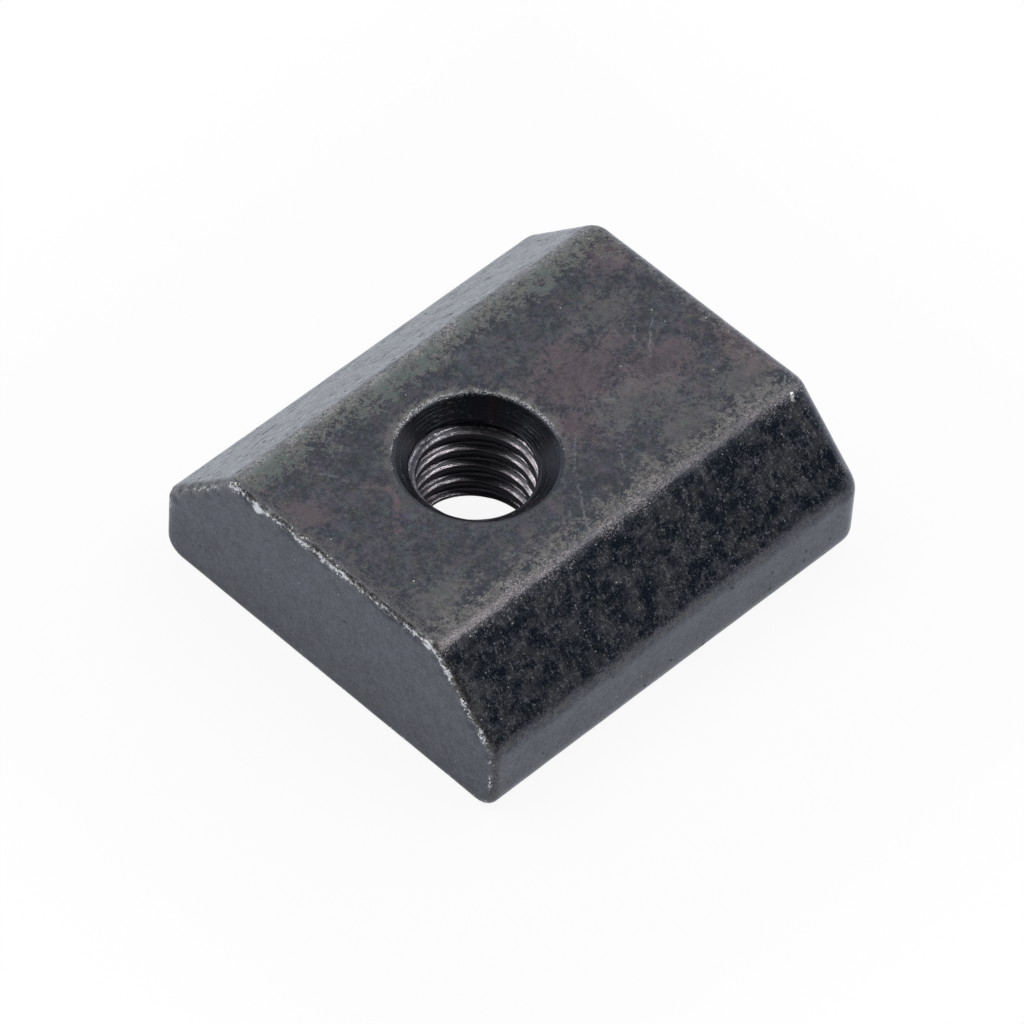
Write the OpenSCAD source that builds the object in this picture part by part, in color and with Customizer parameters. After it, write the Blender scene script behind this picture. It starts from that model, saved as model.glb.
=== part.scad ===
// Slide-in nut for a T-shaped slot: a short length of shouldered bar with a threaded through hole.
// X runs along the slot from the sawn end to the rolled end, Z is up, and the flat bottom is on Z = 0.

/* [Body] */
// Width across the two upright sides
body_width = 19.5; // [16:0.5:24]
// Width of the flat top, between the two sloped shoulders
top_width = 12; // [9:0.5:15]
// Height from the flat bottom to the flat top
body_height = 7.5; // [6.5:0.25:9]
// Height of the upright sides, where the shoulders start
side_height = 3.75; // [3:0.25:5]
// Length along the slot
body_length = 21.8; // [18:0.1:40]

/* [Rounded edges] */
// Radius of the two bottom edges
bottom_round = 1; // [0.5:0.1:1.5]
// Radius of the two edges between side and shoulder
shoulder_round = 1.4; // [0.5:0.1:3]
// Radius of the two edges between shoulder and top
ridge_round = 1.2; // [0.5:0.1:3]
// Radius of the edges round the sawn end
sawn_round = 0.35; // [0.1:0.05:0.8]
// Radius of the edges round the rolled end
rolled_round = 0.9; // [0.1:0.05:0.95]

/* [Thread] */
// Nominal diameter of the screw that the nut takes
thread_diameter = 6; // [5:0.5:8]
// Pitch of the screw's thread
thread_pitch = 1; // [0.5:0.25:1.5]
// Distance of the hole's axis from the sawn end
hole_from_sawn_end = 8.4; // [7:0.1:11]
// How far the countersink in the top reaches past the screw, all round
top_sink_margin = 0.5; // [0.1:0.1:1]
// How far the countersink in the bottom reaches past the screw, all round
under_sink_margin = 1.6; // [0.1:0.05:1.75]

/* [Hidden] */
$fn = 96;

black_steel = [0.2, 0.21, 0.23];

// Flat steps that make up each rounded edge, of the section and of the two ends
section_steps = 6;
end_steps = 4;
// Most of the section's smallest radius that the rounding of an end may take
end_round_share = 0.95;
// How far the hole's cutter stands out of the top and the bottom
overrun = 1;

half_width = body_width / 2;
half_top = top_width / 2;
shoulder_slope = atan2(body_height - side_height, half_width - half_top);

sawn_x = -body_length / 2;
rolled_x = body_length / 2;
end_round_limit = min(bottom_round, shoulder_round, ridge_round) * end_round_share;
sawn_edge = min(sawn_round, end_round_limit);
rolled_edge = min(rolled_round, end_round_limit);

// The bore is the tap drill's, where the thread's crests lie; both countersinks are 90 degree cones
bore_radius = (thread_diameter - thread_pitch) / 2;
top_sink_radius = thread_diameter / 2 + top_sink_margin;
under_sink_radius = thread_diameter / 2 + under_sink_margin;
top_sink_depth = top_sink_radius - bore_radius;
under_sink_depth = under_sink_radius - bore_radius;
hole_x = sawn_x + hole_from_sawn_end;

// Points on an arc of the section, from angle a to angle b
function arc(centre, radius, a, b) = [
    for (step = [0:section_steps])
        let (angle = a + (b - a) * step / section_steps)
        centre + radius * [cos(angle), sin(angle)]
];

// Right half of the section's outline, moved inwards by inset, from the bottom to the top
function half_outline(inset) =
    let (
        normal = 90 - shoulder_slope,
        bottom = [half_width - bottom_round, bottom_round],
        shoulder = [half_width - shoulder_round, side_height - shoulder_round * tan(normal / 2)],
        ridge = [half_top - ridge_round * tan(shoulder_slope / 2), body_height - ridge_round]
    )
    concat(
        arc(bottom, bottom_round - inset, -90, 0),
        arc(shoulder, shoulder_round - inset, 0, normal),
        arc(ridge, ridge_round - inset, normal, 90)
    );

// The whole outline: the right half upwards, then its mirror image downwards
function outline(inset) =
    let (right = half_outline(inset), last = len(right) - 1)
    concat(right, [for (i = [last:-1:0]) [-right[i][0], right[i][1]]]);

// The outline stood across the bar at x
function ring(x, inset) = [for (p = outline(inset)) [x, p[0], p[1]]];

// Rings that round the edges of an end: from the end's face at x into the bar, whose inside is way
function end_rings(x, radius, way) = [
    for (step = [0:end_steps])
        let (angle = 90 * step / end_steps)
        ring(x + way * radius * (1 - cos(angle)), radius * (1 - sin(angle)))
];

// Shouldered bar: a face on each end, and a band of faces between each ring and the next
module bar() {
    sawn_rings = end_rings(sawn_x, sawn_edge, 1);
    rolled_rings = end_rings(rolled_x, rolled_edge, -1);
    rings = concat(sawn_rings, [for (i = [end_steps:-1:0]) rolled_rings[i]]);
    size = len(rings[0]);
    last = len(rings) - 1;
    polyhedron(
        points = [for (points = rings) each points],
        faces = concat(
            [[for (i = [0:size - 1]) i]],
            [[for (i = [size - 1:-1:0]) last * size + i]],
            [
                for (r = [0:last - 1], i = [0:size - 1])
                    let (a = r * size + i, b = r * size + (i + 1) % size)
                    [a, a + size, b + size, b]
            ]
        )
    );
}

// Hole from top to bottom, with a countersink at each
module hole() {
    rotate_extrude()
        polygon([
            [0, -overrun],
            [under_sink_radius + overrun, -overrun],
            [bore_radius, under_sink_depth],
            [bore_radius, body_height - top_sink_depth],
            [top_sink_radius + overrun, body_height + overrun],
            [0, body_height + overrun]
        ]);
}

module slot_nut() {
    color(black_steel)
        difference() {
            bar();
            translate([hole_x, 0, 0])
                hole();
        }
}

slot_nut();
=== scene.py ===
import math
from types import SimpleNamespace

import bmesh
import bpy
import numpy as np
from mathutils import Matrix, Vector, noise


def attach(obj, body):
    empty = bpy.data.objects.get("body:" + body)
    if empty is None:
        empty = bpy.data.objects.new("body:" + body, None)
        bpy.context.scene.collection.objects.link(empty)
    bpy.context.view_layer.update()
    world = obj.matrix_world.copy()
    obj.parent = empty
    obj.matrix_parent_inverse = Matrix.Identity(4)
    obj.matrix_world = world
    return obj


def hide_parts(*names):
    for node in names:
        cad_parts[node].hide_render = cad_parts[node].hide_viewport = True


# Looks of a slide-in nut for a T-shaped slot: a short shouldered bar of blackened steel with a threaded hole.
# X runs along the slot from the sawn end to the rolled end, Z is up, and the flat bottom is on Z = 0.
# Lengths are in millimetres until the mesh is made.
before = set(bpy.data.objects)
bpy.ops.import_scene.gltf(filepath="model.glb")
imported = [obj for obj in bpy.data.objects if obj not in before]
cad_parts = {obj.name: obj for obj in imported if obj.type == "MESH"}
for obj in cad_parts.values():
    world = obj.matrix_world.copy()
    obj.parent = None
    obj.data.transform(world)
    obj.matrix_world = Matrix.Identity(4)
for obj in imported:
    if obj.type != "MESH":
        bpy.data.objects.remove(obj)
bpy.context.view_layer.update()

MM = 0.001

# Sizes of the solid
BODY_WIDTH = 19.5
TOP_WIDTH = 12.0
BODY_HEIGHT = 7.5
SIDE_HEIGHT = 3.75
BODY_LENGTH = 21.8
BOTTOM_ROUND = 1.0
SHOULDER_ROUND = 1.4
RIDGE_ROUND = 1.2
SAWN_ROUND = 0.35
ROLLED_ROUND = 0.9
THREAD_DIAMETER = 6.0
THREAD_PITCH = 1.0
HOLE_FROM_SAWN_END = 8.4
TOP_SINK_RADIUS = 3.5
UNDER_SINK_RADIUS = 4.6

HALF_WIDTH = BODY_WIDTH / 2
HALF_TOP = TOP_WIDTH / 2
SLOPE = math.atan2(BODY_HEIGHT - SIDE_HEIGHT, HALF_WIDTH - HALF_TOP)
SAWN_X = -BODY_LENGTH / 2
ROLLED_X = BODY_LENGTH / 2
HOLE_X = SAWN_X + HOLE_FROM_SAWN_END
BORE_RADIUS = (THREAD_DIAMETER - THREAD_PITCH) / 2

# The section's three rounded edges on the right half: centre, radius, first and last angle
NORMAL = math.pi / 2 - SLOPE
BOTTOM_CENTRE = (HALF_WIDTH - BOTTOM_ROUND, BOTTOM_ROUND)
SHOULDER_CENTRE = (HALF_WIDTH - SHOULDER_ROUND, SIDE_HEIGHT - SHOULDER_ROUND * math.tan(NORMAL / 2))
RIDGE_CENTRE = (HALF_TOP - RIDGE_ROUND * math.tan(SLOPE / 2), BODY_HEIGHT - RIDGE_ROUND)
BOTTOM_ARC = (BOTTOM_CENTRE, BOTTOM_ROUND, -math.pi / 2, 0.0)
SHOULDER_ARC = (SHOULDER_CENTRE, SHOULDER_ROUND, 0.0, NORMAL)
RIDGE_ARC = (RIDGE_CENTRE, RIDGE_ROUND, NORMAL, math.pi / 2)
SECTION_ARCS = (BOTTOM_ARC, SHOULDER_ARC, RIDGE_ARC)

# Thread: a V of 60 degrees with flat crests, cut right-handed, and the share of its flanks that is eased
THREAD_DEPTH = 0.5
ROOT_FLAT = 0.10
CREST_FLAT = 0.20
FLANK_EASE = 0.4
# Height at which a crest crosses the far wall of the hole, seen from the sawn end's left
CREST_HEIGHT = 2.87
FAR_WALL = math.radians(42.5)
# The bare thread fades in over these depths below the top and these heights above the bottom
THREAD_START = (0.78, 0.92)
THREAD_END = (1.7, 1.9)
# Fine lines that the tap left on each turn
CUT_LINES = 7
TOP_RIM_ROUND = 0.3
UNDER_RIM_ROUND = 0.15

# Where the wear and the ridges' painted highlights are brightest: along a ridge's arc, round the hole and on
# which side of it
RIDGE_WEAR_SHARE = 0.35
RIM_RADIUS = TOP_SINK_RADIUS + 0.08
RIM_WAY = (0.55, 0.83, 0.0)
# How far below the surface the sawn end's burr hangs
BURR_DEPTH = 0.22

# Depths of the uneven surface, of the shoulders' pits and of the edges' chips, which lie above a height
UNEVEN_DEPTH = 0.008
PIT_DEPTH = 0.05
CHIP_DEPTH = 0.12
CHIPS_FROM = 2.0

# Fineness of the mesh
ACROSS = 76
SIDE_STEPS = 6
SLOPE_STEPS = 26
ARC_STEPS = (6, 10, 10)
SAWN_STEPS = 6
ROLLED_STEPS = 9
NEAR_STEPS = 20
FAR_STEPS = 40
RING_LAYERS = 14
RING_GROWTH = 1.4
TOP_RIM_STEPS = 5
UNDER_RIM_STEPS = 4
TOP_CONE_STEP = 0.06
UNDER_CONE_STEP = 0.09
THREAD_ROWS = 16
WELD = 1e-4


def smooth(value, low, high):
    """Smooth rise from 0 at low to 1 at high."""
    t = np.clip((value - low) / (high - low), 0, 1)
    return t * t * (3 - 2 * t)


def arc(centre, radius, start, end, steps):
    """Points on an arc of the section."""
    angles = np.linspace(start, end, steps + 1)
    return np.column_stack([centre[0] + radius * np.cos(angles), centre[1] + radius * np.sin(angles)])


def arc_point(centre, radius, start, end, share):
    """Point at a share of the way along an arc of the section."""
    angle = start + (end - start) * share
    return centre[0] + radius * math.cos(angle), centre[1] + radius * math.sin(angle)


def between(a, b, steps):
    """Points that cut the straight from a to b into steps, without its two ends."""
    shares = np.linspace(0, 1, steps + 1)[1:-1, None]
    return a + (b - a) * shares


def half_outline(inset):
    """Right half of the section moved inwards by inset, from the bottom to the top, as rows of y and z."""
    bottom, shoulder, ridge = (
        arc(centre, radius - inset, start, end, steps)
        for (centre, radius, start, end), steps in zip(SECTION_ARCS, ARC_STEPS))
    return np.vstack([
        bottom, between(bottom[-1], shoulder[0], SIDE_STEPS),
        shoulder, between(shoulder[-1], ridge[0], SLOPE_STEPS),
        ridge,
    ])


def end_stations(radius, steps):
    """Depth from an end's face and inset of the section, over the end's rounded edge."""
    angles = np.linspace(0, math.pi / 2, steps + 1)
    return [(radius * (1 - math.cos(a)), radius * (1 - math.sin(a))) for a in angles]


def section_at(x, inset):
    """The right half of the section stood at x."""
    rows = half_outline(inset)
    return np.column_stack([np.full(len(rows), x), rows])


def strip_across(x, half, z):
    """Points across the bar at x, from right to left."""
    y = np.linspace(half, -half, ACROSS + 1)
    return np.column_stack([np.full(ACROSS + 1, x), y, np.full(ACROSS + 1, z)])


def thread_turn(angle, z):
    """How far a point of the hole's wall lies above the nearest crest, as a share of the pitch."""
    turn = (z - CREST_HEIGHT) / THREAD_PITCH - (angle - FAR_WALL) / (2 * math.pi)
    return (turn + 0.5) % 1.0 - 0.5


def thread_radius(angle, z):
    """Radius of the thread's surface at an angle round the hole and a height."""
    from_crest = np.abs(thread_turn(angle, z))
    flank = np.clip((from_crest - CREST_FLAT / 2) / (0.5 - ROOT_FLAT / 2 - CREST_FLAT / 2), 0, 1)
    flank = (1 - FLANK_EASE) * flank + FLANK_EASE * smooth(flank, 0, 1)
    return BORE_RADIUS + THREAD_DEPTH * flank


def rim(radius, round_radius, steps):
    """Radius and depth of points on the rounded rim of a countersink, from its face into its cone."""
    run = round_radius * math.tan(math.pi / 8)
    angles = np.linspace(0, math.pi / 4, steps + 1)
    reach = radius + run - round_radius * np.sin(angles)
    return np.column_stack([reach, round_radius * (1 - np.cos(angles))])


def hole_profile():
    """Radius and height of the hole's rows before the thread is cut, from the top to the bottom."""
    top = rim(TOP_SINK_RADIUS, TOP_RIM_ROUND, TOP_RIM_STEPS)
    under = rim(UNDER_SINK_RADIUS, UNDER_RIM_ROUND, UNDER_RIM_STEPS)
    top_depth = TOP_SINK_RADIUS - BORE_RADIUS
    under_depth = UNDER_SINK_RADIUS - BORE_RADIUS
    top_bore = np.array([BORE_RADIUS, top_depth])
    under_bore = np.array([BORE_RADIUS, under_depth])
    upper = np.vstack([top, between(top[-1], top_bore, int(top_depth / TOP_CONE_STEP)), [top_bore]])
    upper[:, 1] = BODY_HEIGHT - upper[:, 1]
    wall_height = upper[-1, 1] - under_depth
    wall = between(upper[-1], under_bore, int(wall_height / THREAD_PITCH * THREAD_ROWS))
    cone = between(under_bore, under[-1], int(under_depth / UNDER_CONE_STEP))
    return np.vstack([upper, wall, [under_bore], cone, under[::-1]])


def block_edge(half_x, half_y, z):
    """Points round the block of the top or bottom that the hole is in, with ACROSS steps on each side."""
    s = np.linspace(-1, 1, ACROSS + 1)[:-1]
    x = np.concatenate([s, np.ones(ACROSS), -s, -np.ones(ACROSS)]) * half_x
    y = np.concatenate([-np.ones(ACROSS), s, np.ones(ACROSS), -s]) * half_y
    return np.column_stack([HOLE_X + x, y, np.full(len(x), z)])


def nut_grids():
    """Grids of points that together make the nut's closed surface, and whether each runs round a circle."""
    top_half = RIDGE_CENTRE[0]
    bottom_half = BOTTOM_CENTRE[0]
    block_half = top_half
    sawn = [(SAWN_X + depth, inset) for depth, inset in end_stations(SAWN_ROUND, SAWN_STEPS)]
    rolled = [(ROLLED_X - depth, inset) for depth, inset in end_stations(ROLLED_ROUND, ROLLED_STEPS)][::-1]
    near = between(np.array(sawn[-1][0]), np.array(HOLE_X - block_half), NEAR_STEPS).ravel()
    block = np.linspace(HOLE_X - block_half, HOLE_X + block_half, ACROSS + 1)
    far = between(block[-1], np.array(rolled[0][0]), FAR_STEPS).ravel()
    before = sawn + [(x, 0.0) for x in near] + [(block[0], 0.0)]
    after = [(block[-1], 0.0)] + [(x, 0.0) for x in far] + rolled
    stations = before + [(x, 0.0) for x in block[1:-1]] + after

    flank = np.array([section_at(x, inset) for x, inset in stations])
    grids = [(flank, False), (flank * (1, -1, 1), False)]
    for part in (before, after):
        grids.append((np.array([strip_across(x, top_half, BODY_HEIGHT - inset) for x, inset in part]), False))
        grids.append((np.array([strip_across(x, bottom_half, inset) for x, inset in part]), False))
    for end in (flank[0], flank[-1]):
        shares = np.linspace(1, -1, ACROSS + 1)
        grids.append((np.array([[(x, y * s, z) for s in shares] for x, y, z in end]), False))

    top_edge = block_edge(block_half, top_half, BODY_HEIGHT)
    under_edge = block_edge(block_half, bottom_half, 0.0)
    angles = np.arctan2(top_edge[:, 1], top_edge[:, 0] - HOLE_X)
    wall = []
    for radius, z in hole_profile():
        cut = np.maximum(radius, thread_radius(angles, z))
        x, y = HOLE_X + cut * np.cos(angles), cut * np.sin(angles)
        wall.append(np.column_stack([x, y, np.full(len(angles), z)]))
    wall = np.array(wall)
    grids.append((wall, True))
    shares = np.linspace(0, 1, RING_LAYERS + 1)[:, None, None] ** RING_GROWTH
    for ring, edge in ((wall[0], top_edge), (wall[-1], under_edge)):
        grids.append((ring + (edge - ring) * shares, True))
    return grids


def welded_mesh(grids):
    """One closed mesh from grids that share their border points, with its faces turned outwards."""
    points, faces = [], []
    for grid, closed in grids:
        rows, columns = grid.shape[:2]
        index = sum(len(p) for p in points) + np.arange(rows * columns).reshape(rows, columns)
        points.append(grid.reshape(-1, 3))
        right = np.roll(index, -1, axis=1) if closed else index[:, 1:]
        left = index if closed else index[:, :-1]
        faces.append(np.stack([left[:-1], right[:-1], right[1:], left[1:]], axis=-1).reshape(-1, 4))
    mesh = bpy.data.meshes.new("slot_nut_dressed")
    mesh.from_pydata(np.vstack(points).tolist(), [], np.vstack(faces).tolist())
    shape = bmesh.new()
    shape.from_mesh(mesh)
    bmesh.ops.remove_doubles(shape, verts=shape.verts, dist=WELD)
    bmesh.ops.recalc_face_normals(shape, faces=shape.faces)
    shape.to_mesh(mesh)
    shape.free()
    return mesh


def section_depth(y, z):
    """How far points lie inside the section's outline."""
    y = np.abs(y)
    slope = (HALF_TOP - y) * math.sin(SLOPE) + (BODY_HEIGHT - z) * math.cos(SLOPE)
    depth = np.minimum.reduce([z, BODY_HEIGHT - z, HALF_WIDTH - y, slope])
    for centre, radius, start, end in SECTION_ARCS:
        dy, dz = y - centre[0], z - centre[1]
        angle = np.arctan2(dz, dy)
        inside = (angle > start) & (angle < end)
        depth = np.where(inside, np.minimum(depth, radius - np.hypot(dy, dz)), depth)
    return depth


def surface_zones(points, normals):
    """Distances from the nut's edges in mm, and shares of its faces, at each point."""
    x, y, z = points.T
    normal_x, normal_y, normal_z = normals.T
    side = np.abs(y)
    depth = section_depth(y, z)
    from_axis = np.hypot(x - HOLE_X, y)
    cones = np.maximum(TOP_SINK_RADIUS - BODY_HEIGHT + z, UNDER_SINK_RADIUS - z)
    plain_hole = np.maximum(BORE_RADIUS, cones)
    in_hole = (from_axis < UNDER_SINK_RADIUS + 0.1) & (np.abs(normal_z) < 0.999)
    outside = ~in_hole
    ridge = arc_point(*RIDGE_ARC, RIDGE_WEAR_SHARE)
    lower = arc_point(*SHOULDER_ARC, 0.5)
    sloped = smooth(1 - np.abs(normal_z - 0.707) / 0.25, 0.2, 0.8)
    return {
        "ridge": np.hypot(side - ridge[0], z - ridge[1]),
        "lower": np.hypot(side - lower[0], z - lower[1]),
        "sawn": x - SAWN_X + 2 * smooth(-normal_x, 0.93, 0.99),
        "burr": np.hypot(x - SAWN_X, depth - BURR_DEPTH),
        "rolled": np.maximum(ROLLED_X - x, depth),
        "rim": np.minimum(
            np.hypot(from_axis - RIM_RADIUS, z - BODY_HEIGHT), np.hypot(from_axis - UNDER_SINK_RADIUS, z)),
        "hole": in_hole.astype(float),
        "thread": in_hole * smooth(BODY_HEIGHT - z, *THREAD_START) * smooth(z, *THREAD_END),
        "flank": in_hole * smooth(from_axis - plain_hole, 0.01, 0.08),
        "turn": thread_turn(np.arctan2(y, x - HOLE_X), z),
        "top": smooth(normal_z, 0.80, 0.97) * outside,
        "shoulder": sloped * smooth(np.abs(normal_y), 0.3, 0.6) * outside,
    }


def wear_down(points, normals, zones):
    """Points moved inwards where the surface is uneven, pitted or chipped."""
    edge = np.minimum.reduce([
        zones["burr"] / 0.45, zones["ridge"] / 0.6 + 0.4, zones["rolled"] / 0.8 + 0.5, np.ones(len(points))])
    loss = np.zeros(len(points))
    for i, point in enumerate(points):
        p = Vector(point)
        loss[i] += UNEVEN_DEPTH * (1 + noise.noise(p * 0.7))
        if zones["hole"][i]:
            continue
        pits = max(0.0, noise.noise(p * 2.6 + Vector((7, 3, 1))) - 0.25)
        loss[i] += PIT_DEPTH * pits * zones["shoulder"][i]
        if edge[i] < 1.0 and p.z > CHIPS_FROM:
            chips = max(0.0, noise.fractal(p * 2.6, 0.7, 2.1, 3) + 0.15)
            loss[i] += CHIP_DEPTH * chips * (1 - edge[i]) * min(1.0, p.z - CHIPS_FROM)
    return points - normals * loss[:, None]


class Graph:
    """Short ways to add nodes to one tree and to link them."""

    def __init__(self, tree):
        self.tree = tree
        tree.nodes.clear()

    def add(self, kind, inputs=None, **settings):
        made = self.tree.nodes.new(kind)
        for name, value in settings.items():
            setattr(made, name, value)
        for key, value in (inputs or {}).items():
            self.put(made.inputs[key], value)
        return made

    def put(self, socket, value):
        if isinstance(value, bpy.types.NodeSocket):
            self.tree.links.new(value, socket)
        else:
            socket.default_value = value

    def math(self, operation, a, b=0.0, c=0.0, clamp=False):
        return self.add("ShaderNodeMath", {0: a, 1: b, 2: c}, operation=operation, use_clamp=clamp).outputs[0]

    def minus(self, a, b):
        return self.math("SUBTRACT", a, b)

    def times(self, first, *others):
        for other in others:
            first = self.math("MULTIPLY", first, other)
        return first

    def largest(self, first, *others):
        for other in others:
            first = self.math("MAXIMUM", first, other)
        return first

    def mixed(self, *shares):
        """Sum of fields, each with its share."""
        (share, field), *others = shares
        total = self.times(field, share)
        for share, field in others:
            total = self.math("MULTIPLY_ADD", field, share, total)
        return total

    def uneven(self, distance, field, amount):
        """A distance that a field round 0.5 makes longer and shorter."""
        return self.math("MULTIPLY_ADD", self.minus(field, 0.5), amount, distance)

    def rise(self, value, low, high, from_value=0.0, to_value=1.0):
        """Smooth change from from_value at low to to_value at high."""
        if low > high:
            low, high, from_value, to_value = high, low, to_value, from_value
        inputs = {"Value": value, "From Min": low, "From Max": high, "To Min": from_value, "To Max": to_value}
        return self.add("ShaderNodeMapRange", inputs, interpolation_type="SMOOTHSTEP").outputs["Result"]

    def vector(self, operation, a, b=(0.0, 0.0, 0.0), c=(0.0, 0.0, 0.0)):
        made = self.add("ShaderNodeVectorMath", {0: a, 1: b, 2: c}, operation=operation)
        return made.outputs["Value" if operation in ("LENGTH", "DOT_PRODUCT") else "Vector"]

    def scaled(self, vector, scale):
        made = self.add("ShaderNodeVectorMath", {0: vector, "Scale": scale}, operation="SCALE")
        return made.outputs["Vector"]

    def stretch(self, vector, x, y, z):
        return self.vector("MULTIPLY", vector, (x, y, z))

    def split(self, vector):
        return self.add("ShaderNodeSeparateXYZ", {0: vector}).outputs

    def noise(self, vector, scale, detail=3.0, rough=0.55, warp=0.0, output="Fac"):
        inputs = {"Vector": vector, "Scale": scale, "Detail": detail, "Roughness": rough, "Distortion": warp}
        return self.add("ShaderNodeTexNoise", inputs).outputs[output]

    def specks(self, vector, scale, share, size):
        """Dots in a share of the cells of a grid, each of its own size."""
        cells = self.add("ShaderNodeTexVoronoi", {"Vector": vector, "Scale": scale}, feature="F1")
        pick = self.add("ShaderNodeSeparateColor", {"Color": cells.outputs["Color"]}).outputs["Red"]
        radius = self.rise(pick, 1 - share, 1.0, 0.0, size)
        return self.rise(self.minus(radius, cells.outputs["Distance"]), 0.0, 0.06)

    def stroke(self, vector, start, end, width):
        """A fine line on the top from start to end."""
        run = Vector((end[0] - start[0], end[1] - start[1], 0.0))
        off = self.stretch(self.vector("SUBTRACT", vector, (*start, 0.0)), 1.0, 1.0, 0.0)
        share = self.vector("DOT_PRODUCT", off, run / run.length_squared)
        share = self.math("MULTIPLY", share, 1.0, clamp=True)
        foot = self.scaled(run, share)
        return self.rise(self.vector("LENGTH", self.vector("SUBTRACT", off, foot)), width, width * 0.3)

    def spot(self, vector, centre, half_x, half_y):
        """Distance on the top from a spot's centre, as a share of the spot's half lengths."""
        off = self.vector("SUBTRACT", vector, (*centre, BODY_HEIGHT))
        return self.vector("LENGTH", self.stretch(off, 1 / half_x, 1 / half_y, 0.0))

    def blend(self, share, a, b, kind="MIX"):
        mix = self.add("ShaderNodeMix", {"Factor": share}, data_type="RGBA", blend_type=kind)
        self.put(mix.inputs[6], a)
        self.put(mix.inputs[7], b)
        return mix.outputs[2]

    def attribute(self, name):
        return self.add("ShaderNodeAttribute", attribute_name=name).outputs["Fac"]


def rgb(red, green, blue):
    return (red, green, blue, 1.0)


# Colours of the steel's surface, as shares of the light given back
OXIDE_BLUE = rgb(0.006, 0.010, 0.018)
OXIDE_GREY = rgb(0.054, 0.056, 0.062)
FLECK = rgb(0.21, 0.22, 0.235)
TOP_DARK = rgb(0.014, 0.014, 0.018)
TOP_GREY = rgb(0.080, 0.0755, 0.080)
PLAIN_DARK = rgb(0.008, 0.009, 0.012)
PLAIN_GREY = rgb(0.086, 0.086, 0.114)
# Painted reflection: the lighter grey that the left shoulder is painted with
LEFT_SHOULDER_SHEEN = rgb(0.135, 0.139, 0.149)
OLIVE = rgb(0.180, 0.178, 0.148)
GREEN = rgb(0.104, 0.134, 0.112)
PINK = rgb(0.165, 0.096, 0.100)
BEIGE = rgb(0.180, 0.167, 0.145)
BROWN = rgb(0.125, 0.110, 0.095)
# Worn colour of the ridges and the rolled edge, also used for the painted highlight along the right ridge
WORN_AND_HIGHLIGHT = rgb(0.42, 0.37, 0.37)
FRAYED = rgb(0.24, 0.23, 0.215)
# Left ridge's arc: worn grey that is partly a painted highlight
LEFT_RIDGE_WEAR_AND_HIGHLIGHT = rgb(0.19, 0.195, 0.19)
BARE = rgb(0.74, 0.74, 0.73)
CRUMB = rgb(0.020, 0.017, 0.014)
HOLE_BLACK = rgb(0.008, 0.009, 0.012)
HOLE_RED = rgb(0.019, 0.011, 0.013)
HOLE_LINE = rgb(0.10, 0.10, 0.11)
THREAD_DARK = rgb(0.036, 0.034, 0.041)
THREAD_STEEL = rgb(0.48, 0.44, 0.475)
GLOSS_TINT = rgb(0.80, 0.87, 1.0)
OXIDE_IOR = 1.5

# How much the oxide's tint changes on the top, and how deep its fine relief is
HUE_SPREAD = 1.4
RELIEF_DEPTH = 0.02

# Pink and beige stains on the top: centre, half lengths along and across the slot; and how strong they are
PINK_STAINS = (
    ((9.4, 4.4), (1.2, 1.4)), ((3.6, 0.4), (2.8, 1.7)), ((6.8, -1.5), (2.4, 1.1)),
    ((1.6, -1.6), (0.9, 1.3)), ((-9.8, 2.5), (0.9, 0.9)), ((9.9, -3.4), (0.9, 2.2)))
BEIGE_STAINS = (
    ((7.2, 2.1), (1.5, 0.9)), ((5.2, -4.7), (2.2, 1.0)), ((9.0, -4.4), (1.9, 1.2)),
    ((4.6, -2.3), (2.0, 1.2)), ((-9.2, -4.4), (1.6, 1.0)))
PINK_STRENGTH = 0.32
BEIGE_STRENGTH = 0.30

# Fine scratches and faint pink strokes on the top: start and end; and how wide they are
SCRATCHES = (
    ((1.4, -1.8), (-0.1, -3.2)), ((-0.5, -3.8), (-2.0, -5.9)), ((8.3, 0.6), (6.65, -0.9)),
    ((7.5, 0.7), (6.7, 0.0)), ((5.0, -1.4), (5.7, -1.5)), ((2.3, -3.4), (1.4, -4.7)),
    ((10.4, -5.2), (9.8, -5.7)), ((-7.9, 3.8), (-7.3, 2.6)), ((3.1, -1.0), (3.9, -1.5)))
PINK_STROKES = (((-7.05, 2.2), (-6.4, 1.5)), ((-6.4, 1.5), (-6.6, 0.6)), ((-6.6, 0.6), (-7.7, -0.6)))
SCRATCH_WIDTH = 0.06
STROKE_WIDTH = 0.22

# Bright lumps on the sawn end's burr and near the rolled end: place and size
LUMPS = (
    ((-10.88, 4.37, 7.12), 0.34), ((-10.86, 3.75, 7.30), 0.17), ((-10.84, -5.55, 7.20), 0.30),
    ((9.74, -6.22, 7.25), 0.11), ((9.70, -6.32, 7.17), 0.12), ((9.66, -6.42, 7.08), 0.10))


def steel_fields(g, zones):
    """Places, zones and noises that the steps of the steel's material share."""
    f = SimpleNamespace()
    f.place = g.scaled(g.add("ShaderNodeTexCoord").outputs["Object"], 1 / MM)
    f.along, f.across, f.height = g.split(f.place)
    for zone in zones:
        setattr(f, zone, g.attribute(zone))
    f.outside = g.rise(f.hole, 1.0, 0.0)

    f.clouds = g.noise(f.place, 0.8, 4, 0.65)
    f.patches = g.noise(f.place, 1.0, 6, 0.8, 0.4)
    f.grain = g.noise(f.place, 5.0, 4, 0.7)
    f.dust = g.noise(f.place, 15.0, 2, 0.6)
    f.grit = g.mixed((0.65, f.dust), (0.35, f.grain))
    f.ragged = g.times(g.minus(0.5, g.mixed((0.5, f.patches), (0.3, f.grain), (0.2, f.dust))), 6.0)
    bends = g.vector("SUBTRACT", g.noise(f.place, 1.8, 2, 0.6, 0.0, "Color"), (0.5, 0.5, 0.5))
    f.bent_place = g.vector("MULTIPLY_ADD", bends, (0.45, 0.45, 0.0), f.place)
    dots = g.specks(f.bent_place, 2.0, 0.50, 0.22)
    f.dark_dots = g.times(dots, f.outside, g.rise(f.top, 1.0, 0.0, 0.5, 1.0))
    return f


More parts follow.
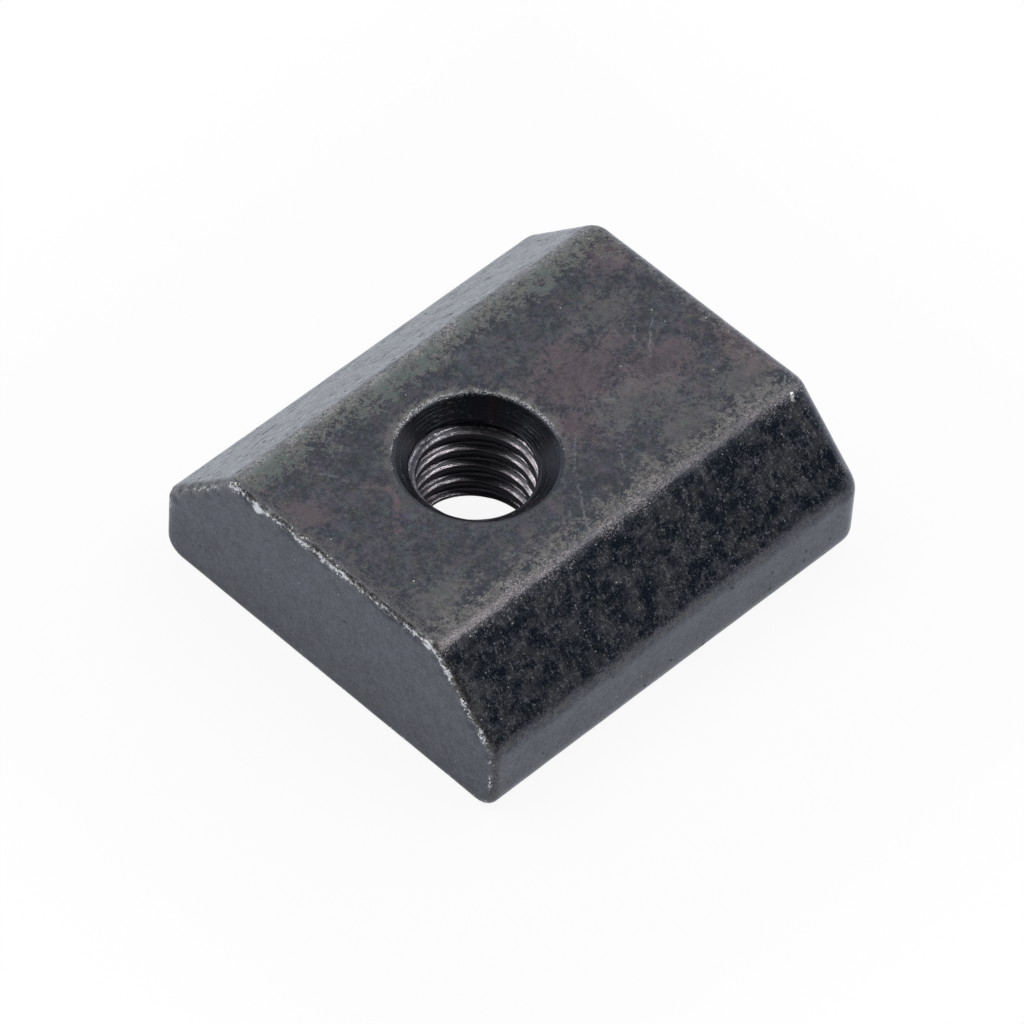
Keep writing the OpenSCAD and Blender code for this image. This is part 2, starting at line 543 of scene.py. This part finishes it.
def hole_fields(g, f):
    """Fields of the hole: the way from its axis, turned lines, the tap's lines and the thread's bare steel."""
    from_axis = g.vector("SUBTRACT", f.place, (HOLE_X, 0.0, 0.0))
    f.hole_way = g.vector("NORMALIZE", g.stretch(from_axis, 1.0, 1.0, 0.0))
    f.rim_way = g.vector("DOT_PRODUCT", f.hole_way, RIM_WAY)
    f.streaks = g.noise(g.stretch(f.place, 0.4, 0.4, 11.0), 1.0, 4, 0.7)
    along_turn = g.add("ShaderNodeCombineXYZ", {
        "X": g.times(f.turn, 9.0), "Y": g.times(f.along, 0.18), "Z": g.times(f.across, 0.18)})
    turns = g.noise(along_turn.outputs[0], 1.0, 3, 0.6)
    phase = g.mixed((2 * math.pi * CUT_LINES, f.turn), (12.0, turns))
    f.cut = g.math("MULTIPLY_ADD", g.math("SINE", phase), 0.5, 0.5)
    first_turn = g.largest(g.rise(f.height, 6.3, 5.8), g.rise(f.grain, 0.42, 0.60, 0.15, 1.0))
    bright = g.rise(g.mixed((0.6, f.cut), (0.25, turns), (0.15, f.dust)), 0.39, 0.60, 0.16, 1.0)
    f.steel = g.times(f.thread, f.flank, first_turn, bright)


def edge_fields(g, f):
    """Shares of wear: brown on the lower and sawn edges, worn on the ridges and the rolled edge, and a painted
    highlight along the right ridge's arc that is brightest at its near end.
    """
    patchy = g.rise(f.clouds, 0.40, 0.62, 0.12, 0.0)

    def grains(distance, thinning, patchiness, low, high):
        """Grains that thin out away from an edge."""
        return g.rise(g.minus(f.grit, g.mixed((thinning, distance), (patchiness, patchy))), low, high)

    lower = g.times(grains(f.lower, 0.45, 0.5, 0.36, 0.48), 0.6)
    sawn = g.times(grains(f.sawn, 0.15, 0.6, 0.36, 0.48), g.rise(f.shoulder, 0.0, 1.0, 0.7, 0.2))
    f.brown = g.times(f.outside, g.largest(lower, sawn))

    # Painted highlight, partly wear: a thin bright line along the right ridge's arc, brightest towards the
    # sawn end
    wear_and_highlight_line = g.rise(g.uneven(f.ridge, f.grain, 0.9), 0.26, 0.06)
    wear_and_highlight_line = g.times(wear_and_highlight_line, g.rise(f.along, -9.5, -1.0, 0.90, 0.35), g.rise(f.across, -2.0, -4.0))
    wear_and_highlight_line = g.times(wear_and_highlight_line, g.rise(f.grit, 0.42, 0.56, 0.25, 1.0))
    ridge = g.times(grains(f.ridge, 0.15, 1.0, 0.46, 0.53), g.rise(f.along, -4.0, 5.0, 0.8, 0.55))
    rolled = g.times(grains(f.rolled, 0.18, 1.0, 0.40, 0.52), 0.6)
    f.worn = g.times(f.outside, g.largest(wear_and_highlight_line, ridge, rolled))


def bare_metal(g, f):
    """Share of bare metal: on the sawn end's burr, on the far side of the hole's rim, and in specks."""
    low = g.math("ADD", g.rise(f.height, 4.0, 1.5, 0.0, 0.10), g.rise(f.across, 5.8, 6.6, 0.0, 0.07))
    beads = g.mixed((0.35, f.dust), (0.65, g.noise(f.place, 7.0, 3, 0.65)))
    gaps = g.rise(g.noise(f.place, 1.0, 2, 0.5), 0.38, 0.62, 0.11, 0.0)
    burr = g.rise(g.minus(beads, g.mixed((0.7, f.burr), (1.0, gaps), (1.0, low))), 0.39, 0.45)
    for place, size in LUMPS:
        lump = g.uneven(g.vector("LENGTH", g.vector("SUBTRACT", f.place, place)), f.grain, 0.3)
        burr = g.largest(burr, g.rise(lump, size, size * 0.6))
    near_side = g.rise(f.rim_way, -0.5, 0.9, 0.16, 0.0)
    rim_wear = g.rise(g.minus(f.grit, g.mixed((0.9, f.rim), (1.0, near_side))), 0.42, 0.52)
    plain_specks = g.times(g.specks(f.place, 2.2, 0.45, 0.10), g.rise(f.shoulder, 1.0, 0.0), f.outside)
    shoulder_specks = g.times(g.specks(f.place, 5.0, 0.30, 0.2), f.shoulder)
    return g.largest(burr, g.times(rim_wear, 0.5), plain_specks, shoulder_specks)


def oxide(g, f):
    """Colour of the oxide: mottled on the shoulders, plain on the sides and ends, tinted on the top, and the
    left shoulder painted lighter as a painted reflection of the floor.
    """
    slanted = g.noise(g.stretch(f.place, 7.0, 3.0, 3.0), 1.0, 3, 0.7)
    mottling = g.noise(f.place, 1.1, 5, 0.72)
    blotches = g.mixed((0.60, mottling), (0.18, slanted), (0.22, f.dust))
    flecks = g.mixed((0.45, slanted), (0.45, f.dust), (0.10, mottling))
    mottled = g.blend(g.rise(blotches, 0.44, 0.57), OXIDE_BLUE, OXIDE_GREY)
    mottled = g.blend(g.rise(flecks, 0.54, 0.63, 0.0, 0.8), mottled, FLECK)

    plain = g.mixed((0.3, f.patches), (0.35, f.grain), (0.35, f.dust))
    plain = g.blend(g.rise(plain, 0.43, 0.56), PLAIN_DARK, PLAIN_GREY)

    charcoal = g.mixed((0.40, f.patches), (0.35, f.grain), (0.25, f.dust))
    charcoal = g.blend(g.rise(charcoal, 0.42, 0.58), TOP_DARK, TOP_GREY)
    hues = g.noise(f.place, 1.8, 5, 0.8, 0.0, "Color")
    hues = g.vector("MULTIPLY_ADD", hues, (HUE_SPREAD,) * 3, (1 - HUE_SPREAD / 2,) * 3)
    charcoal = g.blend(1.0, charcoal, hues, "MULTIPLY")

    colour = g.blend(f.shoulder, plain, mottled)
    # The left shoulder painted lighter grey over its mottling: a painted reflection of the floor at a grazing
    # angle
    colour = g.blend(g.times(f.shoulder, g.rise(f.across, 5.0, 7.0), 0.6), colour, LEFT_SHOULDER_SHEEN)
    return g.blend(f.top, colour, charcoal)


def with_stains(g, f, colour):
    """The colour with stains on the top, and with flakes and green patches along its edges."""
    for stains, tint, strength in (
            (PINK_STAINS, PINK, PINK_STRENGTH), (BEIGE_STAINS, BEIGE, BEIGE_STRENGTH)):
        distances = (g.spot(f.place, centre, *halves) for centre, halves in stains)
        stained = g.largest(*(g.rise(g.math("ADD", far, f.ragged), 1.25, 0.50) for far in distances))
        colour = g.blend(g.times(f.top, stained, strength), colour, tint)

    left = g.rise(f.across, 3.2, 5.2)
    edge = g.uneven(g.math("MINIMUM", f.ridge, g.times(f.rolled, 1.3)), f.clouds, -3.0)
    edge = g.math("ADD", edge, g.mixed((1.8, f.ragged), (-0.45, left)))
    flakes = g.blend(g.rise(f.across, -2.0, 4.0), BEIGE, OLIVE)
    flakes = g.blend(g.rise(g.mixed((0.6, f.grain), (0.4, f.dust)), 0.56, 0.42, 0.0, 0.8), flakes, TOP_DARK)
    flaked = g.times(f.top, g.rise(edge, 0.95, 0.75), g.rise(f.ridge, 0.2, 1.6, 0.9, 0.45))
    colour = g.blend(flaked, colour, flakes)
    green = g.rise(g.mixed((1.0, f.patches), (0.2, left)), 0.73, 0.75)
    return g.blend(g.times(f.top, green, left, 0.85), colour, GREEN)


def with_marks(g, f, colour):
    """The colour with scratches, pink strokes and dark dots."""
    scratches = g.largest(*(g.stroke(f.bent_place, start, end, SCRATCH_WIDTH) for start, end in SCRATCHES))
    strokes = g.largest(*(g.stroke(f.bent_place, start, end, STROKE_WIDTH) for start, end in PINK_STROKES))
    colour = g.blend(g.times(f.top, scratches, g.rise(f.grain, 0.35, 0.55), 0.45), colour, FLECK)
    colour = g.blend(g.times(f.top, strokes, g.rise(f.patches, 0.40, 0.55), 0.5), colour, PINK)
    return g.blend(g.times(f.dark_dots, 0.5), colour, OXIDE_BLUE)


def with_hole(g, f, colour):
    """The colour with the hole's black cones, their fine turned lines, and the half bare thread."""
    tints = g.noise(f.hole_way, 4.0, 4, 0.7)
    cone = g.blend(g.rise(g.mixed((0.8, tints), (0.2, f.dust)), 0.48, 0.62), HOLE_BLACK, HOLE_RED)
    lines = g.times(g.rise(f.streaks, 0.57, 0.65), g.rise(f.grain, 0.48, 0.60))
    colour = g.blend(f.hole, colour, g.blend(lines, cone, HOLE_LINE))
    colour = g.blend(f.thread, colour, THREAD_DARK)
    return g.blend(f.steel, colour, THREAD_STEEL)


def with_wear(g, f, colour):
    """The colour with worn edges, painted highlights along both ridges' arcs, the frayed burr with its dark
    crumbs, and the stained rim of the hole.
    """
    colour = g.blend(f.brown, colour, BROWN)
    # A lighter patchy band on the left ridge's arc: partly wear, partly a painted highlight
    left = g.rise(g.uneven(f.ridge, f.grain, 1.2), 0.80, 0.20)
    left = g.times(left, g.rise(f.across, 2.0, 4.0))
    left = g.times(left, g.rise(g.mixed((0.5, f.patches), (0.5, f.dust)), 0.40, 0.56))
    colour = g.blend(g.times(left, 0.6), colour, LEFT_RIDGE_WEAR_AND_HIGHLIGHT)
    colour = g.blend(f.worn, colour, WORN_AND_HIGHLIGHT)

    frayed = g.rise(g.uneven(f.burr, f.grain, 0.9), 0.30, 0.10)
    frayed = g.times(frayed, g.rise(f.grit, 0.40, 0.56, 0.3, 1.0), g.rise(f.height, 1.0, 4.0, 0.2, 0.7))
    colour = g.blend(frayed, colour, FRAYED)
    crumbs = g.noise(g.vector("ADD", f.place, (3.0, 5.0, 7.0)), 6.0, 3, 0.65)
    crumbs = g.times(g.rise(f.burr, 0.42, 0.24), g.rise(crumbs, 0.47, 0.41), 0.6)
    colour = g.blend(crumbs, colour, CRUMB)

    rim_band = g.rise(g.mixed((1.0, f.rim), (0.5, f.ragged)), 0.40, 0.15)
    rim_band = g.times(rim_band, f.top, g.rise(f.rim_way, -0.6, 0.7, 0.0, 0.5))
    return g.blend(rim_band, colour, BEIGE)


def roughness(g, f):
    """Roughness: low on the sides and shoulders, higher on the top and the crests, and in dashes and dots."""
    dashes = g.rise(g.noise(g.stretch(f.place, 1.1, 4.5, 4.5), 1.0, 4, 0.7), 0.56, 0.64)
    marks = g.largest(g.times(dashes, f.shoulder, 0.35), g.times(f.dark_dots, 0.45))
    crests = g.times(f.thread, g.rise(f.flank, 1.0, 0.0))
    fine = g.math("ADD", g.rise(f.grain, 0.3, 0.7, 0.08, 0.15), g.rise(f.clouds, 0.40, 0.62, 0.0, 0.10))
    return g.mixed((1.0, fine), (1.0, marks), (0.22, f.top), (0.06, f.hole), (0.3, crests))


def relief(g, f):
    """The surface's direction with its fine relief: grains and dots outside, turned lines in the hole."""
    grains = g.mixed((0.6, f.grain), (0.4, f.dust), (-0.8, f.dark_dots))
    coarser = g.times(g.rise(f.shoulder, 0.0, 1.0, 1.0, 1.3), g.rise(f.ridge, 0.9, 0.2, 1.0, 2.2))
    grains = g.times(grains, f.outside, coarser)
    height = g.mixed((1.0, grains), (1.0, g.times(f.streaks, f.hole)), (0.7, g.times(f.cut, f.thread)))
    inputs = {"Height": height, "Distance": RELIEF_DEPTH * MM, "Strength": 1.0}
    return g.add("ShaderNodeBump", inputs).outputs["Normal"]


def black_steel(zones):
    """Blackened steel: patchy oxide with stains, specks and scratches, worn to the metal on its edges, with
    painted highlights along the ridges and a painted reflection lightening the left shoulder.
    """
    material = bpy.data.materials.new("black_steel")
    material.use_nodes = True
    g = Graph(material.node_tree)
    f = steel_fields(g, zones)
    hole_fields(g, f)
    edge_fields(g, f)
    bare = bare_metal(g, f)
    colour = oxide(g, f)
    for step in (with_stains, with_marks, with_hole, with_wear):
        colour = step(g, f, colour)
    shader = g.add("ShaderNodeBsdfPrincipled", {
        "Base Color": g.blend(bare, colour, BARE),
        "Metallic": g.largest(g.times(bare, 0.7), g.times(f.worn, 0.15), f.steel),
        "Roughness": roughness(g, f),
        "IOR": OXIDE_IOR,
        "Specular Tint": GLOSS_TINT,
        "Normal": relief(g, f),
    })
    g.add("ShaderNodeOutputMaterial", {"Surface": shader.outputs["BSDF"]})
    return material


def make_nut():
    """The nut with its thread, its wear and its zones, in place of the plain solid."""
    mesh = welded_mesh(nut_grids())
    count = len(mesh.vertices)
    points = np.empty(count * 3)
    mesh.vertices.foreach_get("co", points)
    points = points.reshape(-1, 3)
    normals = np.empty(count * 3, dtype=np.float32)
    mesh.vertex_normals.foreach_get("vector", normals)
    normals = normals.reshape(-1, 3)
    zones = surface_zones(points, normals)
    points = wear_down(points, normals, zones)
    mesh.vertices.foreach_set("co", (points * MM).astype(np.float32).ravel())
    mesh.polygons.foreach_set("use_smooth", np.ones(len(mesh.polygons), dtype=bool))
    for name, values in zones.items():
        mesh.attributes.new(name, "FLOAT", "POINT").data.foreach_set("value", values.astype(np.float32))
    mesh.update()
    mesh.materials.append(black_steel(zones))
    nut = bpy.data.objects.new("slot_nut_dressed", mesh)
    bpy.context.collection.objects.link(nut)
    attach(nut, "root")
    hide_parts("slot_nut")


# Floor: radius in metres, sides of its outline, drop below the nut in mm, and colours
FLOOR_RADIUS = 1.5
FLOOR_SEGMENTS = 96
FLOOR_DROP = 0.02
PAPER = rgb(0.9, 0.9, 0.9)
WHITE = rgb(1.0, 1.0, 1.0)
# Floor to the camera: share of plain white near the nut, and where the shadow on the rest fades out, in mm
FLOOR_SEEN = 0.92
SHADOW_FADE = (8.0, 20.0)
# Floor in reflections: reach of the nut's shade in mm, levels at its foot and under it, and the edge between
SHADE_REACH = 4.0
SHADE_LEVEL = 0.65
UNDER_LEVEL = 0.3
UNDER_EDGE = 1.0

# Light: a cool sky, bright at the back and dim at the front, and a softbox on either side, in metres and watts
COOL_WHITE = rgb(0.89, 0.925, 1.0)
BACK_WAY = Vector((0.74, 0.67, 0.0))
RIGHT_WAY = Vector((0.67, -0.74, 0.0))
SKY_DIM = 0.04
SKY_BRIGHT = 1.0
SKY_TURN = 0.6
SOFTBOX_SIZE = (0.7, 0.5)
SOFTBOX_OUT = 0.5
SOFTBOX_BACK = 0.1
SOFTBOX_UP = 0.8
SOFTBOX_POWER = 3.2


def floor_material():
    """Paper that is white to the camera and in reflections, and takes the nut's shadow."""
    material = bpy.data.materials.new("floor_white")
    material.use_nodes = True
    g = Graph(material.node_tree)
    x, y, _ = g.split(g.add("ShaderNodeTexCoord").outputs["Object"])
    out = g.largest(
        g.minus(g.math("ABSOLUTE", x), ROLLED_X * MM), g.minus(g.math("ABSOLUTE", y), HALF_WIDTH * MM))
    path = g.add("ShaderNodeLightPath").outputs
    open_floor = g.rise(out, SHADOW_FADE[0] * MM, SHADOW_FADE[1] * MM, FLOOR_SEEN, 1.0)
    seen = g.times(g.largest(path["Is Camera Ray"], path["Is Transmission Ray"]), open_floor)
    shade = g.rise(out, 0.0, SHADE_REACH * MM, SHADE_LEVEL, 1.0)
    shade = g.times(shade, g.rise(out, -UNDER_EDGE * MM, 0.0, UNDER_LEVEL, 1.0))
    seen = g.largest(seen, g.times(path["Is Glossy Ray"], shade))
    paper = g.add("ShaderNodeBsdfDiffuse", {"Color": PAPER})
    tint = g.blend(path["Is Glossy Ray"], WHITE, COOL_WHITE)
    white = g.add("ShaderNodeEmission", {"Color": tint, "Strength": 1.0})
    mix = g.add("ShaderNodeMixShader", {0: seen, 1: paper.outputs[0], 2: white.outputs[0]})
    g.add("ShaderNodeOutputMaterial", {"Surface": mix.outputs[0]})
    return material


def make_floor():
    """A wide round floor just under the nut."""
    mesh = bpy.data.meshes.new("floor")
    disc = bmesh.new()
    bmesh.ops.create_circle(disc, cap_ends=True, segments=FLOOR_SEGMENTS, radius=FLOOR_RADIUS)
    disc.to_mesh(mesh)
    disc.free()
    mesh.materials.append(floor_material())
    floor = bpy.data.objects.new("floor", mesh)
    floor.location.z = -FLOOR_DROP * MM
    bpy.context.collection.objects.link(floor)


def make_light():
    """The sky and the two softboxes."""
    world = bpy.data.worlds.new("studio")
    world.use_nodes = True
    bpy.context.scene.world = world
    g = Graph(world.node_tree)
    facing = g.vector("DOT_PRODUCT", g.add("ShaderNodeTexCoord").outputs["Generated"], BACK_WAY)
    strength = g.rise(facing, 0.0, SKY_TURN, SKY_DIM, SKY_BRIGHT)
    sky = g.add("ShaderNodeBackground", {"Color": COOL_WHITE, "Strength": strength})
    g.add("ShaderNodeOutputWorld", {"Surface": sky.outputs[0]})
    for name, side in (("softbox_right", 1), ("softbox_left", -1)):
        lamp = bpy.data.lights.new(name, "AREA")
        lamp.shape = "RECTANGLE"
        lamp.size, lamp.size_y = SOFTBOX_SIZE
        lamp.energy = SOFTBOX_POWER
        holder = bpy.data.objects.new(name, lamp)
        level = RIGHT_WAY * side * SOFTBOX_OUT + BACK_WAY * SOFTBOX_BACK
        holder.location = level + Vector((0, 0, SOFTBOX_UP))
        holder.rotation_mode = "QUATERNION"
        holder.rotation_quaternion = (-holder.location).to_track_quat("-Z", "Y")
        bpy.context.collection.objects.link(holder)


# Camera: angles in degrees, distance and offsets in mm, focal length in pixels of a square image
AZIMUTH = -47.91
ELEVATION = 49.437
ROLL = 4.035
DISTANCE = 333.6
OFFSET = (0.188, 1.119)
FOCAL_PIXELS = 8000
IMAGE_PIXELS = 1024
SENSOR = 36
CLIP_NEAR = 0.01
CLIP_FAR = 10


def make_camera():
    """A long lens that looks down on the sawn end and the right shoulder."""
    azimuth, elevation, roll = (math.radians(a) for a in (AZIMUTH, ELEVATION, ROLL))
    ahead = math.cos(elevation)
    back = Vector((math.sin(azimuth) * ahead, -math.cos(azimuth) * ahead, math.sin(elevation)))
    level = Vector((math.cos(azimuth), math.sin(azimuth), 0))
    upright = back.cross(level)
    right = level * math.cos(roll) + upright * math.sin(roll)
    up = upright * math.cos(roll) - level * math.sin(roll)
    place = Vector((0, 0, BODY_HEIGHT / 2)) + back * DISTANCE - right * OFFSET[0] - up * OFFSET[1]
    turn = Matrix((right, up, back)).transposed().to_4x4()
    lens = bpy.data.cameras.new("camera")
    lens.sensor_width = SENSOR
    lens.lens = FOCAL_PIXELS / IMAGE_PIXELS * SENSOR
    lens.clip_start = CLIP_NEAR
    lens.clip_end = CLIP_FAR
    camera = bpy.data.objects.new("camera", lens)
    camera.matrix_world = Matrix.Translation(place * MM) @ turn
    bpy.context.collection.objects.link(camera)
    bpy.context.scene.camera = camera


make_nut()
make_floor()
make_light()
make_camera()
bpy.context.scene.view_settings.view_transform = "Standard"
